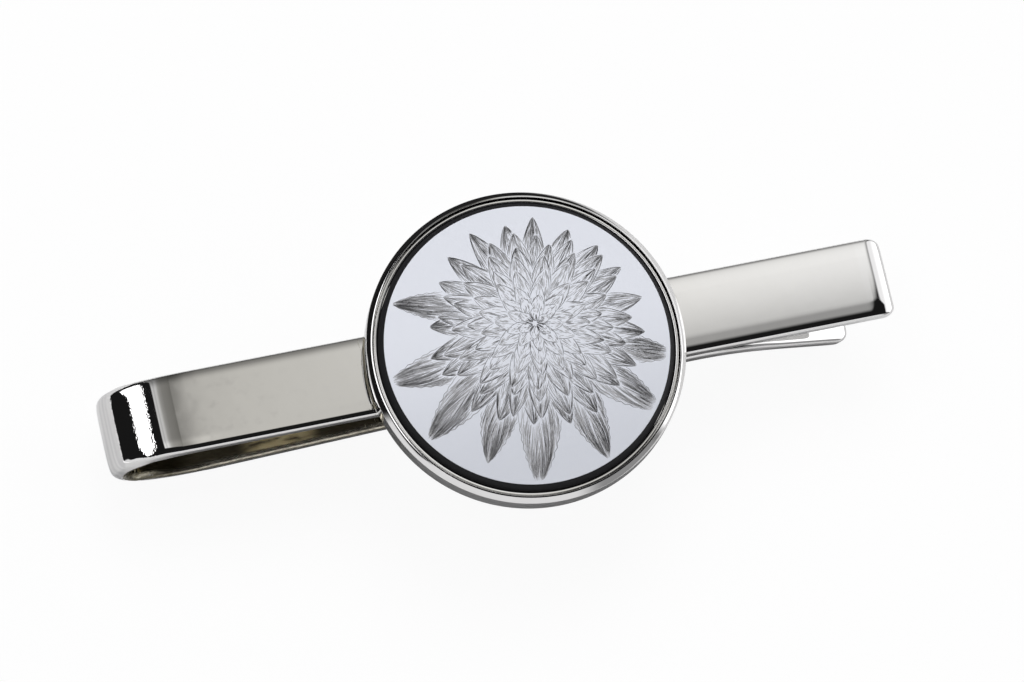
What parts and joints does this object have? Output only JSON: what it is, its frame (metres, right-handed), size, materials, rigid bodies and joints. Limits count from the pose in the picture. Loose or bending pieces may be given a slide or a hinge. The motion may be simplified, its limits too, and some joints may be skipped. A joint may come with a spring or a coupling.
{
  "type": "tie clip",
  "caption": "Slide-on tie clip: a polished metal strip bent back on itself, with a round tray on the front that holds a flat picture disc with a dark bevelled edge.",
  "frame": {"origin": "middle of the clip's outer box at its lowest level, where it lies on its back leaf", "axes": "+X along the strip from the closed heel to the open jaw, +Z out of the picture, +Y across the strip"},
  "size_m": [0.054, 0.0216, 0.009],
  "materials": {
    "plated_metal": "polished plating with fine wear",
    "solder": "dull, slightly yellow",
    "adhesive": "foam tape",
    "black_core": "matte black",
    "picture_white": "matte pale sheet with a fine line drawing"
  },
  "bodies": {
    "front": {"front_leaf": "plated_metal", "spring_bend": "plated_metal", "solder_joint": "solder", "tray": "plated_metal", "bezel_ring": "plated_metal", "adhesive_disc": "adhesive", "core_disc": "black_core", "picture_face": "picture_white"},
    "back": {"back_leaf": "plated_metal"}
  },
  "joints": [
    {"name": "back_leaf_flex", "type": "hinge", "parent": "front", "child": "back", "pos_m": [-0.02395, 0.00057, 0.00357], "axis": [0, 1, 0], "range_deg": [0, 6], "stiffness_Nm_per_rad": 2.3, "deforming": ["spring_bend"]}
  ]
}
